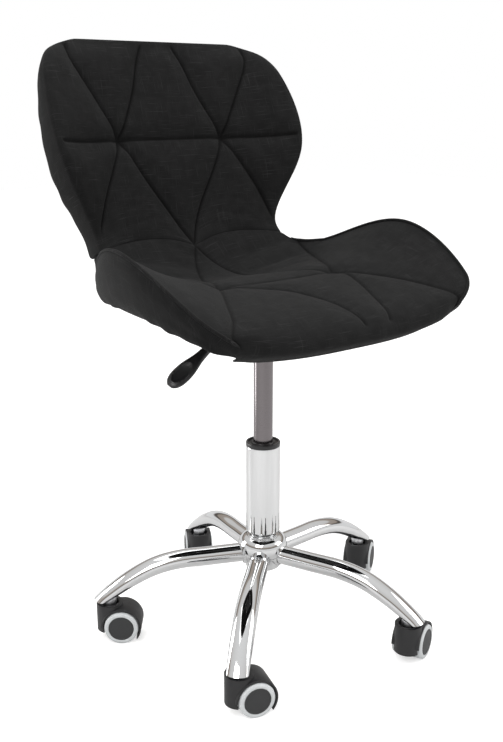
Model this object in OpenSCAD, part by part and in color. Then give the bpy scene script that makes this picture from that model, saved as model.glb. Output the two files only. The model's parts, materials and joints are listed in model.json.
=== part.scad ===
// Small swivel desk chair: quilted bucket seat on a gas lift, five-leg chromed base
// and five twin-wheel casters.
// Millimetres. +Z up. The origin is on the floor, on the swivel axis.
// The sitter faces -Y and the height lever is on the sitter's right, at -X.

/* [Base] */
// Radius of the circle that the caster stems stand on
stem_circle_r = 230; // [215:1:245]
// Turn of the first leg about the swivel axis, in degrees
base_turn = 7; // [0:1:71]
// Outer radius of the hub sleeve
hub_r = 26; // [24:0.5:28]
// Height of the leg axis where it leaves the hub
leg_root_z = 122; // [116:1:128]
// Width of a leg across its flat oval section
leg_w = 30; // [26:1:32]
// Depth of a leg at the hub end
leg_h = 27; // [22:1:28]
// Depth of a leg at its flattened tip
leg_tip_h = 21; // [18:1:24]
// Wall of the leg tube, seen at the open tip
leg_wall = 2; // [1.5:0.5:3]

/* [Casters] */
// Diameter over the tyres
wheel_d = 50; // [48:1:52]
// Distance from the stem axis back to the axle
caster_trail = 18; // [15:1:20]
// Radius of the stem barrel of the hood
barrel_r = 19.5; // [18:0.5:21]
// Height of the top of the hood
hood_top_z = 58; // [56:1:60]
// Radius of the wheel cap disc
cap_r = 18.5; // [16:0.5:20]
// Width of one wheel
wheel_w = 18; // [16:1:19]
// Radius of the axle
axle_r = 3; // [2.5:0.5:3.5]

/* [Gas lift] */
// Radius of the outer column
column_r = 25; // [25:0.5:25.5]
// Height of the lower rim of the column, above its taper
column_rim_z = 158; // [155:1:162]
// Height of the top of the column
column_top_z = 290; // [280:1:292]
// Radius of the gas cylinder that carries the seat
tube_r = 14; // [13.5:0.5:14]
// Radius of the piston rod
rod_r = 5; // [4:0.5:6]
// Radial gap between parts that slide or turn in each other
running_gap = 0.05; // [0.03:0.01:0.08]

/* [Height lever] */
// Distance from the swivel axis out to the lever pivot
pivot_x = 38; // [34:1:42]
// Angle that the paddle hangs below level, in degrees
paddle_drop = 33; // [20:1:40]
// Length of the paddle
paddle_l = 84; // [70:1:90]
// Width of the paddle at its widest
paddle_w = 26; // [20:1:28]
// Turn of the paddle's broad face towards the front, in degrees
paddle_twist = 32; // [0:1:45]

/* [Seat] */
// Thickness of the moulded plywood shell
shell_t = 9; // [8:0.5:10]
// Thickness of the covers under the seat and behind the back
cover_t = 6.5; // [5:0.5:7]
// Width of the padded roll outside the edge of the shell
edge_roll = 22; // [16:1:26]
// Clear gap between neighbouring layers
layer_gap = 0.6; // [0.5:0.1:1]

/* [Hidden] */
$fn = 64;

leg_step = 72;
// Heading of each caster's trail, in degrees
caster_heading = [34, 60, -38, -18, 22];

// ---------------------------------------------------------------- curves
// Value of a smooth curve through the list v at place u, which runs from 0 to len(v) - 1
function knot(v, i) =
    i < 0 ? 2 * v[0] - v[1]
    : i > len(v) - 1 ? 2 * v[len(v) - 1] - v[len(v) - 2]
    : v[i];
function smooth(v, u) =
    let (
        i = min(floor(u), len(v) - 2),
        t = u - i,
        a = knot(v, i - 1),
        b = knot(v, i),
        c = knot(v, i + 1),
        d = knot(v, i + 2)
    )
    0.5 * (2 * b + (c - a) * t + (2 * a - 5 * b + 4 * c - d) * t * t
        + (3 * b - a - 3 * c + d) * t * t * t);
function steps(a, b, n) = [for (i = [0 : n]) a + (b - a) * i / n];

// ---------------------------------------------------------------- base
hub_z0 = 100;
hub_z1 = 150;
taper_slope = 0.03;
taper_r0 = 17.5;
column_z0 = 98;
collar_r = 17;
collar_end = 31;
socket_r = 10;
socket_z0 = 51.5;
socket_z1 = 73;
stem_r = 5.5;
stem_pin_r = 3.4;
stem_z0 = 22;
stem_shoulder_z = 50.3;

module tapered_plug(extra, z0, z1) {
    translate([0, 0, z0])
        cylinder(
            r1 = taper_r0 + taper_slope * (z0 - column_z0) + extra,
            r2 = taper_r0 + taper_slope * (z1 - column_z0) + extra,
            h = z1 - z0
        );
}

// Runs its children at each leg's turn
module at_leg(i) {
    rotate([0, 0, base_turn + leg_step * i]) children();
}

module base_hub() {
    edge = 4;
    color([0.86, 0.87, 0.88])
    difference() {
        union() {
            rotate_extrude()
                polygon([
                    [0, hub_z0], [hub_r - 1, hub_z0], [hub_r, hub_z0 + 1],
                    [hub_r, hub_z1 - edge], [hub_r - edge, hub_z1], [0, hub_z1]
                ]);
            for (i = [0 : 4])
                at_leg(i)
                    translate([0, 0, leg_root_z])
                        rotate([0, 90, 0])
                            cylinder(r = collar_r, h = collar_end - 0.4);
        }
        tapered_plug(running_gap, hub_z0 - 1, hub_z1 + 1);
    }
}

// Path, tilt and size of a leg at its stations from hub to tip
leg_r_list = [
    collar_end, 80, 125, 162, 196, stem_circle_r - 6, stem_circle_r + 12
];
leg_z_list = [
    leg_root_z, leg_root_z - 2, leg_root_z - 4, leg_root_z - 12,
    leg_root_z - 28, leg_root_z - 46, leg_root_z - 59
];
leg_tilt_list = [0, 1, 6, 22, 40, 58, 84];
leg_h_list = [leg_h, leg_h, leg_h, leg_h - 1, leg_h - 3, leg_tip_h + 1, leg_tip_h];
leg_w_list = [leg_w, leg_w, leg_w + 1, leg_w + 2, leg_w + 2, leg_w + 1, leg_w];
leg_sides = 20;

// One oval ring of the leg at station u, set in from the outside by inset
function leg_ring(u, inset) =
    let (
        r = smooth(leg_r_list, u),
        z = smooth(leg_z_list, u),
        tilt = smooth(leg_tilt_list, u),
        a = smooth(leg_w_list, u) / 2 - inset,
        b = smooth(leg_h_list, u) / 2 - inset
    )
    [for (k = [0 : leg_sides - 1])
        let (q = 360 * k / leg_sides)
        [r + b * sin(q) * sin(tilt), a * cos(q), z + b * sin(q) * cos(tilt)]];

// Closed skin over a list of rings that all have n points
module ring_skin(rings, n) {
    last = len(rings) - 1;
    polyhedron(
        points = [for (ring = rings) each ring],
        faces = concat(
            [[for (k = [0 : n - 1]) k]],
            [for (j = [0 : last - 1])
                for (k = [0 : n - 1])
                    each [
                        [j * n + k, (j + 1) * n + k, j * n + (k + 1) % n],
                        [j * n + (k + 1) % n, (j + 1) * n + k, (j + 1) * n + (k + 1) % n]
                    ]],
            [[for (k = [n - 1 : -1 : 0]) last * n + k]]
        ),
        convexity = 6
    );
}

module leg(i) {
    tip = len(leg_r_list) - 1;
    outer = [for (u = steps(0, tip, 18)) leg_ring(u, 0)];
    inner = [for (u = steps(tip, tip - 0.9, 3)) leg_ring(u, leg_wall)];
    color([0.86, 0.87, 0.88])
    at_leg(i)
        difference() {
            ring_skin(concat(outer, inner), leg_sides);
            translate([stem_circle_r, 0, socket_z0 - 10])
                cylinder(r = socket_r + 0.1, h = socket_z1 - socket_z0 + 10.1);
        }
}

module leg_1() { leg(0); }
module leg_2() { leg(1); }
module leg_3() { leg(2); }
module leg_4() { leg(3); }
module leg_5() { leg(4); }

module stem_sockets() {
    color([0.75, 0.76, 0.78])
    for (i = [0 : 4])
        at_leg(i)
            translate([stem_circle_r, 0, 0])
                difference() {
                    translate([0, 0, socket_z0])
                        cylinder(r = socket_r, h = socket_z1 - socket_z0);
                    translate([0, 0, socket_z0 - 1])
                        cylinder(r = stem_r + 0.02, h = socket_z1 - socket_z0 - 2);
                }
}

module caster_stems() {
    grip_z = 64;
    color([0.6, 0.61, 0.63])
    for (i = [0 : 4])
        at_leg(i)
            translate([stem_circle_r, 0, 0])
                difference() {
                    union() {
                        translate([0, 0, stem_shoulder_z])
                            cylinder(r = stem_r, h = socket_z1 - 4 - stem_shoulder_z);
                        translate([0, 0, stem_z0])
                            cylinder(r = stem_pin_r, h = stem_shoulder_z - stem_z0 + 1);
                    }
                    translate([0, 0, grip_z])
                        rotate_extrude()
                            translate([stem_r + 0.2, 0])
                                circle(r = 1, $fn = 24);
                }
}

// ---------------------------------------------------------------- gas lift
column_wall = 1.5;
floor_t = 3;
bush_z0 = 238;
bush_flange = 6;
race_r0 = 5.2;
race_r1 = 14;
race_z = column_z0 + floor_t + 0.05;
race_t = 2.4;
ball_r = 2;
ball_ring_r = 9.5;
upper_race_z = race_z + race_t + 2 * ball_r;
buffer_z0 = upper_race_z + race_t;
buffer_z1 = buffer_z0 + 12;
clip_z = column_z0 - 2.6;
tube_z0 = 230;
tube_taper_z = 419;
tube_z1 = 444;
bore_r = 12.5;
piston_z = 243;
button_r = 4;
button_top_z = 450;

module gas_column() {
    neck_z = hub_z1 + 2;
    neck_r = taper_r0 + taper_slope * (hub_z1 - column_z0);
    flutes = 9;
    flute_h = 26;
    flute_w = 3.2;
    inner_r = column_r - column_wall;
    color([0.88, 0.89, 0.9])
    difference() {
        rotate_extrude()
            polygon([
                [rod_r + 0.3, column_z0], [taper_r0, column_z0],
                [neck_r, hub_z1], [neck_r, neck_z],
                [column_r - 1.5, column_rim_z - 1.5], [column_r, column_rim_z],
                [column_r, column_top_z], [inner_r, column_top_z],
                [inner_r, column_rim_z + 2], [neck_r - 2, neck_z + 2],
                [taper_r0 - 2, column_z0 + floor_t], [rod_r + 0.3, column_z0 + floor_t]
            ]);
        for (k = [0 : flutes - 1])
            rotate([0, 0, 360 * k / flutes])
                translate([column_r - 1, 0, column_rim_z])
                    rotate([90, 0, 90])
                        linear_extrude(2)
                            polygon([
                                [-flute_w / 2, -2], [flute_w / 2, -2], [0, flute_h]
                            ]);
    }
}

module guide_bush() {
    inner_r = tube_r + running_gap;
    color([0.09, 0.09, 0.1])
    rotate_extrude()
        polygon([
            [inner_r, bush_z0],
            [column_r - column_wall - 0.03, bush_z0],
            [column_r - column_wall - 0.03, column_top_z + 0.02],
            [column_r, column_top_z + 0.02],
            [column_r, column_top_z + bush_flange - 1],
            [column_r - 1, column_top_z + bush_flange],
            [column_r - 3, column_top_z + bush_flange],
            [column_r - 4, column_top_z + bush_flange - 2],
            [tube_r + 3, column_top_z + bush_flange - 2],
            [tube_r + 2, column_top_z + bush_flange],
            [inner_r, column_top_z + bush_flange]
        ]);
}

module ring_solid(r0, r1, z, h) {
    rotate_extrude()
        translate([r0, z])
            square([r1 - r0, h]);
}

module bearing_lower_race() {
    color([0.6, 0.61, 0.63]) ring_solid(race_r0, race_r1, race_z, race_t);
}

module bearing_balls() {
    balls = 12;
    color([0.7, 0.71, 0.73])
    for (k = [0 : balls - 1])
        rotate([0, 0, 360 * k / balls])
            translate([ball_ring_r, 0, race_z + race_t + ball_r])
                sphere(r = ball_r - 0.03, $fn = 24);
}

module bearing_upper_race() {
    color([0.6, 0.61, 0.63])
        ring_solid(rod_r + 0.02, race_r1 - 1, upper_race_z, race_t - 0.02);
}

module rubber_buffer() {
    color([0.12, 0.12, 0.12])
        ring_solid(rod_r + 0.02, race_r1 - 2, buffer_z0, buffer_z1 - buffer_z0 - 0.02);
}

module piston_rod() {
    collar_t = 3;
    rod_z0 = column_z0 - 8;
    groove_r = rod_r - 0.9;
    spigot_r = 3;
    color([0.7, 0.71, 0.73])
    rotate_extrude()
        polygon([
            [0, rod_z0], [rod_r - 1, rod_z0], [rod_r, rod_z0 + 1],
            [rod_r, clip_z - 0.05], [groove_r, clip_z - 0.05],
            [groove_r, clip_z + 2.05], [rod_r, clip_z + 2.05],
            [rod_r, buffer_z1], [rod_r + 3, buffer_z1],
            [rod_r + 3, buffer_z1 + collar_t], [rod_r, buffer_z1 + collar_t],
            [rod_r, piston_z], [spigot_r, piston_z],
            [spigot_r, piston_z + 9], [0, piston_z + 9]
        ]);
}

module rod_piston() {
    piston_t = 9;
    ring_z = piston_z + piston_t / 2;
    color([0.25, 0.25, 0.26])
    rotate_extrude()
        polygon([
            [3.02, piston_z + 0.02], [bore_r - 0.05, piston_z + 0.02],
            [bore_r - 0.05, ring_z - 1], [bore_r - 1.2, ring_z - 1],
            [bore_r - 1.2, ring_z + 1], [bore_r - 0.05, ring_z + 1],
            [bore_r - 0.05, piston_z + piston_t], [3.02, piston_z + piston_t]
        ]);
}

module retaining_clip() {
    clip_r = 9;
    color([0.5, 0.51, 0.53])
    difference() {
        ring_solid(rod_r - 0.88, clip_r, clip_z, 2);
        translate([0, -rod_r * 0.7, clip_z - 1]) cube([clip_r + 1, rod_r * 1.4, 4]);
    }
}

module gas_cylinder() {
    top_wall = 7;
    taper = 0.5;
    color([0.55, 0.55, 0.56])
    rotate_extrude()
        polygon([
            [bore_r, tube_z0], [tube_r - 1, tube_z0], [tube_r, tube_z0 + 1],
            [tube_r, tube_taper_z], [tube_r - taper, tube_z1],
            [button_r + running_gap, tube_z1],
            [button_r + running_gap, tube_z1 - top_wall], [bore_r, tube_z1 - top_wall]
        ]);
}

module cylinder_end_guide() {
    color([0.2, 0.2, 0.21])
    ring_solid(rod_r + running_gap, bore_r - 0.03, tube_z0 + 1, piston_z - tube_z0 - 2);
}

module valve_button() {
    color([0.85, 0.85, 0.86])
    rotate_extrude()
        polygon([
            [0, tube_z1 - 11], [button_r, tube_z1 - 11],
            [button_r, button_top_z - 1.2], [0.5, button_top_z], [0, button_top_z]
        ]);
}

// ---------------------------------------------------------------- seat surface
// Stations run from the front lower edge (0), over the seat (3), up the bend (5)
// to the top of the back (8). Each list gives one value per station.
// Middle line of the upholstered face
face_y = [-186, -199, -164, -24, 101, 169, 206, 238, 255];
face_z = [476, 491, 518, 540, 528, 582, 700, 809, 857];
// Middle line of the underside and the rear of the back
under_y = [-175, -182, -158, -40, 124, 216, 257, 271, 262];
under_z = [475, 482, 483, 470, 486, 566, 671, 790, 855];
half_w = [180, 186, 235, 252, 203, 161, 210, 200, 158];
wing_lift = [6, 8, 24, 63, 38, 11, 50, 33, 0];
// Amount that the front edge curves back towards its corners
front_bow = [30, 13, 5, 0, 0, 0, 0, 0, 0];
wing_power = 3;
split_u = 4.78;
shell_u0 = 2;
shell_u1 = 7.2;
corner_u = 0.5;
front_corner_r = 30;
top_corner_r = 50;

// Amount that a corner takes off the half width near either end
function corner(u) =
    let (
        last = len(half_w) - 1,
        q = u < corner_u ? 1 - u / corner_u
            : u > last - corner_u ? 1 - (last - u) / corner_u
            : 0
    )
    (u < last / 2 ? front_corner_r : top_corner_r) * (1 - sqrt(max(0, 1 - q * q)));
function width_at(u) = smooth(half_w, u) - corner(u);
// Direction in which the wings rise at station u, as [y, z]
function rise_at(u) =
    let (
        v = max(u, 2),
        e = 0.002,
        dy = smooth(face_y, v + e) - smooth(face_y, v - e),
        dz = smooth(face_z, v + e) - smooth(face_z, v - e),
        l = norm([dy, dz])
    )
    [-dz / l, dy / l];
// Thickness of the upholstered body at station u
function thick_at(u) =
    norm([smooth(face_y, u) - smooth(under_y, u), smooth(face_z, u) - smooth(under_z, u)]);
// Point at station u and side place t (-1 to 1), at a height above the underside
function body_point(u, t, up) =
    let (
        share = up / thick_at(u),
        side = pow(abs(t) * width_at(u) / smooth(half_w, u), wing_power),
        lift = smooth(wing_lift, u) * side,
        bow = smooth(front_bow, u) * side,
        n = rise_at(u)
    )
    [
        width_at(u) * t,
        smooth(under_y, u) * (1 - share) + smooth(face_y, u) * share + n[0] * lift + bow,
        smooth(under_z, u) * (1 - share) + smooth(face_z, u) * share + n[1] * lift
    ];

// Side place of the edge of the shell at station u
function shell_t_at(u) = 1 - edge_roll / width_at(u);
// Side places from one edge to the other, with a step at the shell's edge
side_steps = [-1, -0.8, -0.6, -0.4, -0.2, 0, 0.2, 0.4, 0.6, 0.8, 1];

// Closed solid between two sheets of nu by nt points
module sheet_solid(top, bottom, nu, nt) {
    n = nu * nt;
    rim = concat(
        [for (j = [0 : nt - 2]) j],
        [for (i = [0 : nu - 2]) i * nt + nt - 1],
        [for (j = [nt - 1 : -1 : 1]) (nu - 1) * nt + j],
        [for (i = [nu - 1 : -1 : 1]) i * nt]
    );
    m = len(rim);
    polyhedron(
        points = concat(top, bottom),
        faces = concat(
            [for (i = [0 : nu - 2]) for (j = [0 : nt - 2])
                let (a = i * nt + j, b = a + 1, c = a + nt, d = c + 1)
                each [[a, c, b], [b, c, d]]],
            [for (i = [0 : nu - 2]) for (j = [0 : nt - 2])
                let (a = n + i * nt + j, b = a + 1, c = a + nt, d = c + 1)
                each [[a, b, c], [b, d, c]]],
            [for (k = [0 : m - 1])
                let (a = rim[k], b = rim[(k + 1) % m])
                each [[a, b, n + a], [b, n + b, n + a]]]
        ),
        convexity = 10
    );
}

// A layer as wide as the shell, between two heights above the underside
module inner_layer(us, up0, up1, shrink) {
    top = [for (u = us) for (s = side_steps)
        body_point(u, s * (shell_t_at(u) - shrink), up1)];
    bottom = [for (u = us) for (s = side_steps)
        body_point(u, s * (shell_t_at(u) - shrink), up0)];
    sheet_solid(top, bottom, len(us), len(side_steps));
}

// A pad: it covers the shell and rolls round its edge down to the underside
module wrapped_pad(us) {
    step = 0.012;
    ts = [for (u = us)
        concat(
            [-1, -shell_t_at(u) - step],
            [for (s = side_steps) s * shell_t_at(u)],
            [shell_t_at(u) + step, 1]
        )];
    nt = len(ts[0]);
    top = [for (i = [0 : len(us) - 1]) for (t = ts[i])
        body_point(us[i], t, thick_at(us[i]))];
    bottom = [for (i = [0 : len(us) - 1]) for (j = [0 : nt - 1])
        let (
            u = us[i],
            over = u > shell_u0 - 0.02 && u < shell_u1 + 0.02 && j > 1 && j < nt - 2,
            up = over ? cover_t + shell_t + 2 * layer_gap : 0
        )
        body_point(u, ts[i][j], up)];
    sheet_solid(top, bottom, len(us), nt);
}

// Stations of the shell under the seat, which the layers above and below it share
under_seat = steps(shell_u0, split_u, 10);
between_ends = [for (i = [1 : len(under_seat) - 2]) under_seat[i]];
shell_stations = concat(under_seat, [4.87], steps(5, shell_u1, 8));
seat_stations = concat(
    steps(0, 1.8, 9), [shell_u0 - 0.03, shell_u0 - 0.01], between_ends, [split_u - 0.01]
);
back_stations = concat(
    [split_u + 0.01], steps(5, shell_u1, 8), [shell_u1 + 0.01, shell_u1 + 0.03],
    steps(7.45, 8, 5)
);

bolt_x = 70;
front_bolt_u = 2.6;
rear_bolt_u = 3.4;
bolt_r = 3;
barrel_nut_r = 4.2;
flange_nut_r = 9;
flange_nut_t = 1.4;

// Runs its children at each seat bolt: $u is its station and $t its side place
module at_bolts() {
    for (u = [front_bolt_u, rear_bolt_u])
        for (side = [-1, 1]) {
            $u = u;
            $t = side * bolt_x / width_at(u);
            translate([side * bolt_x, smooth(under_y, u), 0]) children();
        }
}
// Heights of the two faces of the shell and of the seat's underside at a bolt
function shell_top_z(u, t) = body_point(u, t, cover_t + layer_gap + shell_t)[2];
function bottom_z(u, t) = body_point(u, t, 0)[2];

module seat_shell() {
    color([0.76, 0.62, 0.44])
    difference() {
        inner_layer(
            shell_stations, cover_t + layer_gap, cover_t + layer_gap + shell_t, 0.006
        );
        at_bolts()
            union() {
                translate([0, 0, bottom_z($u, $t)])
                    cylinder(r = barrel_nut_r + 0.1, h = 30);
                translate([0, 0, shell_top_z($u, $t) - flange_nut_t - 1])
                    cylinder(r = flange_nut_r + 0.3, h = 12);
            }
    }
}

module seat_pad() {
    color([0.13, 0.13, 0.14]) wrapped_pad(seat_stations);
}

module back_pad() {
    color([0.13, 0.13, 0.14]) wrapped_pad(back_stations);
}

module back_cover() {
    color([0.12, 0.12, 0.13])
        inner_layer(concat([split_u + 0.02], steps(5, shell_u1, 8)), 0, cover_t, 0.006);
}

module dust_cover() {
    color([0.07, 0.07, 0.07])
    difference() {
        inner_layer(concat([shell_u0], between_ends, [split_u - 0.02]), 0, cover_t, 0.006);
        at_bolts()
            translate([0, 0, bottom_z($u, $t) - 5])
                cylinder(r = bolt_r + 0.3, h = 25);
    }
}

// ---------------------------------------------------------------- seat fixing
plate_t = 2.5;
pan_z = 438;
pan_half = [45, 36];
flange_z = 463;
flange_half_x = 84;
plate_socket_z0 = 420;
ear_x = 5;
pivot_z = button_top_z + 4.05;
pin_r = 2;

module rounded_plate(half_x, half_y, r, h) {
    linear_extrude(h)
        union() {
            square([2 * half_x, 2 * (half_y - r)], center = true);
            square([2 * (half_x - r), 2 * half_y], center = true);
            for (sx = [-1, 1])
                for (sy = [-1, 1])
                    translate([sx * (half_x - r), sy * (half_y - r)])
                        circle(r = r);
        }
}

module seat_plate() {
    mid_y = (smooth(under_y, front_bolt_u) + smooth(under_y, rear_bolt_u)) / 2;
    half_y = (smooth(under_y, rear_bolt_u) - smooth(under_y, front_bolt_u)) / 2 + 14;
    color([0.08, 0.08, 0.08])
    difference() {
        union() {
            // flange with the four bolt holes
            translate([0, mid_y, flange_z])
                rounded_plate(flange_half_x, half_y, 10, plate_t);
            // pan that the lever runs in
            translate([-pan_half[0], -pan_half[1], pan_z])
                cube([2 * pan_half[0], 2 * pan_half[1], flange_z - pan_z]);
            // tapered socket for the gas cylinder
            translate([0, 0, plate_socket_z0])
                cylinder(r = tube_r + 4, h = pan_z - plate_socket_z0 + 1);
            at_bolts()
                translate([0, 0, flange_z])
                    cylinder(r = 8, h = bottom_z($u, $t) - flange_z - 0.4);
        }
        // inside of the pan, with the two pivot ears left standing
        difference() {
            translate([-pan_half[0] + plate_t, -pan_half[1] + plate_t, pan_z + plate_t])
                cube([
                    2 * (pan_half[0] - plate_t), 2 * (pan_half[1] - plate_t),
                    flange_z - pan_z + 5
                ]);
            for (side = [-1, 1])
                translate([-pivot_x - ear_x, side * 8.25 - 1.25, pan_z])
                    cube([2 * ear_x, 2.5, pivot_z - pan_z + 5]);
        }
        translate([-pivot_x, 0, pivot_z])
            rotate([90, 0, 0])
                cylinder(r = pin_r + running_gap, h = 40, center = true);
        // slot in the wall for the lever rod
        translate([-pan_half[0] - 1, -6, pivot_z - 8]) cube([plate_t + 2, 12, 14]);
        translate([0, 0, plate_socket_z0 - 0.01])
            cylinder(r1 = tube_r + 0.04, r2 = tube_r - 0.46, h = 25);
        at_bolts()
            translate([0, 0, flange_z - 1])
                cylinder(r = bolt_r + 0.3, h = 20);
    }
}

module seat_bolts() {
    head_h = 4;
    color([0.3, 0.3, 0.31])
    at_bolts()
        union() {
            translate([0, 0, flange_z - head_h - 0.05])
                difference() {
                    cylinder(r = 5.5, h = head_h);
                    translate([0, 0, -1]) cylinder(r = 3, h = 3.5, $fn = 6);
                }
            translate([0, 0, flange_z - 0.05])
                cylinder(
                    r = bolt_r,
                    h = shell_top_z($u, $t) - flange_nut_t - 1.5 - flange_z
                );
        }
}

module tee_nuts() {
    color([0.6, 0.61, 0.63])
    at_bolts()
        difference() {
            union() {
                translate([0, 0, bottom_z($u, $t) + cover_t + 3])
                    cylinder(
                        r = barrel_nut_r,
                        h = shell_top_z($u, $t) - bottom_z($u, $t) - cover_t - 4
                    );
                translate([0, 0, shell_top_z($u, $t) - flange_nut_t - 0.8])
                    cylinder(r = flange_nut_r, h = flange_nut_t);
            }
            translate([0, 0, bottom_z($u, $t)])
                cylinder(r = bolt_r + 0.05, h = 40);
        }
}

// ---------------------------------------------------------------- lever
rod_end_x = 96;

module lever_rod() {
    lever_r = 4;
    color([0.15, 0.15, 0.16])
    difference() {
        union() {
            translate([-rod_end_x, 0, pivot_z])
                rotate([0, 90, 0])
                    cylinder(r = lever_r, h = rod_end_x + lever_r);
            translate([-pivot_x, 0, pivot_z])
                rotate([90, 0, 0])
                    cylinder(r = pin_r, h = 19, center = true);
        }
        translate([-rod_end_x - 1, -10, pivot_z - lever_r - 1]) cube([3, 20, 2]);
    }
}

// One slice of the paddle at distance s along it
module paddle_slice(s, w, h) {
    translate([-s, 0, 0])
        rotate([0, 90, 0])
            linear_extrude(1.5)
                union() {
                    translate([0, (w - h) / 2]) circle(r = h / 2, $fn = 24);
                    translate([0, -(w - h) / 2]) circle(r = h / 2, $fn = 24);
                    square([h, w - h], center = true);
                }
}

module lever_handle() {
    sleeve_x = rod_end_x - 10;
    grip_t = 9;
    color([0.06, 0.06, 0.07])
    difference() {
        union() {
            translate([-rod_end_x - 4, 0, pivot_z])
                rotate([0, 90, 0])
                    cylinder(r = 6.5, h = rod_end_x + 4 - sleeve_x);
            translate([-rod_end_x + 6, 0, pivot_z])
                rotate([0, -paddle_drop, 0]) rotate([paddle_twist, 0, 0]) {
                    hull() {
                        paddle_slice(4, 12, 11);
                        paddle_slice(paddle_l * 0.35, 16, grip_t);
                    }
                    hull() {
                        paddle_slice(paddle_l * 0.35, 16, grip_t);
                        paddle_slice(paddle_l * 0.6, paddle_w, grip_t);
                    }
                    hull() {
                        paddle_slice(paddle_l * 0.6, paddle_w, grip_t);
                        paddle_slice(paddle_l * 0.85, paddle_w, grip_t - 1);
                    }
                    hull() {
                        paddle_slice(paddle_l * 0.85, paddle_w, grip_t - 1);
                        paddle_slice(paddle_l, paddle_w * 0.55, grip_t - 4);
                    }
                }
        }
        translate([-rod_end_x - 0.1, 0, pivot_z])
            rotate([0, 90, 0])
                cylinder(r = 4.03, h = 60);
    }
}

// ---------------------------------------------------------------- casters
axle_z = wheel_d / 2;
web_half = 4.4;
well_r = wheel_d / 2 + 1.6;
arch_r = wheel_d / 2 + 4.2;
arch_half = 20.5;
wheel_y0 = 5;

// Places a part of caster i, drawn with its stem axis at the origin and its trail along +X
module at_caster(i) {
    a = base_turn + leg_step * i;
    translate([stem_circle_r * cos(a), stem_circle_r * sin(a), 0])
        rotate([0, 0, caster_heading[i]])
            children();
}

// A cylinder on the wheel axis between two distances from the middle plane
module on_axle(r, y0, y1) {
    translate([caster_trail, y0, axle_z])
        rotate([-90, 0, 0])
            cylinder(r = r, h = y1 - y0);
}

module caster_housing(i) {
    recess_r = 14;
    recess_depth = 8;
    barrel_z0 = 16;
    web_z0 = 7;
    big = 80;
    color([0.1, 0.1, 0.11])
    at_caster(i)
        difference() {
            union() {
                // arched hood over both wheels
                difference() {
                    on_axle(arch_r, -arch_half, arch_half);
                    translate([-big / 2, -big / 2, -big + axle_z]) cube([big, big, big]);
                }
                translate([0, 0, barrel_z0]) cylinder(r = barrel_r, h = hood_top_z - barrel_z0);
                // web that carries the axle
                difference() {
                    on_axle(well_r, -web_half, web_half);
                    translate([-big / 2, -big / 2, web_z0 - big]) cube([big, big, big]);
                }
            }
            on_axle(well_r, web_half, 30);
            on_axle(well_r, -30, -web_half);
            on_axle(axle_r + 0.03, -30, 30);
            translate([0, 0, hood_top_z - recess_depth])
                cylinder(r = recess_r, h = recess_depth + 1);
            translate([0, 0, stem_z0 - 1.5])
                cylinder(r = stem_pin_r + running_gap, h = hood_top_z);
        }
}

module caster_axle(i) {
    color([0.6, 0.61, 0.63])
    at_caster(i) on_axle(axle_r, -wheel_y0 - wheel_w + 4, wheel_y0 + wheel_w - 4);
}

// Wheel body with its cap, drawn on the +Y side of the web
module wheel_body() {
    outer = wheel_y0 + wheel_w;
    color([0.17, 0.17, 0.18])
    translate([caster_trail, 0, axle_z])
        rotate([-90, 0, 0])
            rotate_extrude()
                polygon([
                    [0, outer - 3.5], [axle_r + running_gap, outer - 3.5],
                    [axle_r + running_gap, wheel_y0], [8, wheel_y0], [8, wheel_y0 + 3],
                    [15.5, wheel_y0 + 3], [15.5, wheel_y0 + 0.5], [cap_r, wheel_y0 + 0.5],
                    [cap_r, outer - 0.5], [cap_r - 0.8, outer], [0, outer]
                ]);
}

// Grey tyre ring round the wheel body
module wheel_tyre() {
    r = wheel_d / 2;
    edge = 2.5;
    y0 = wheel_y0 + 0.3;
    y1 = wheel_y0 + wheel_w - 0.8;
    arc = [for (q = [0 : 15 : 90]) [sin(q), cos(q)]];
    color([0.62, 0.64, 0.65])
    translate([caster_trail, 0, axle_z])
        rotate([-90, 0, 0])
            rotate_extrude()
                polygon(concat(
                    [[cap_r + 0.03, y0]],
                    [for (k = [0 : 6])
                        [r - edge + edge * arc[k][0], y0 + edge - edge * arc[k][1]]],
                    [for (k = [6 : -1 : 0])
                        [r - edge + edge * arc[k][0], y1 - edge + edge * arc[k][1]]],
                    [[cap_r + 0.03, y1]]
                ));
}

module caster_wheel_a(i) { at_caster(i) wheel_body(); }
module caster_tyre_a(i) { at_caster(i) wheel_tyre(); }
module caster_wheel_b(i) { at_caster(i) mirror([0, 1, 0]) wheel_body(); }
module caster_tyre_b(i) { at_caster(i) mirror([0, 1, 0]) wheel_tyre(); }

// ---------------------------------------------------------------- output
base_hub();
leg_1();
leg_2();
leg_3();
leg_4();
leg_5();
stem_sockets();
caster_stems();
gas_column();
guide_bush();
bearing_lower_race();
piston_rod();
rod_piston();
bearing_balls();
bearing_upper_race();
retaining_clip();
rubber_buffer();
gas_cylinder();
cylinder_end_guide();
seat_plate();
seat_bolts();
tee_nuts();
seat_shell();
seat_pad();
back_pad();
back_cover();
dust_cover();
lever_rod();
lever_handle();
valve_button();
for (i = [0 : 4]) {
    name = str("caster_", i + 1);
    caster_housing(i);
    caster_axle(i);
    caster_wheel_a(i);
    caster_tyre_a(i);
    caster_wheel_b(i);
    caster_tyre_b(i);
}
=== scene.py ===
import json
import math

import bmesh
import bpy
import numpy as np
from mathutils import Matrix, Vector, kdtree

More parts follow.
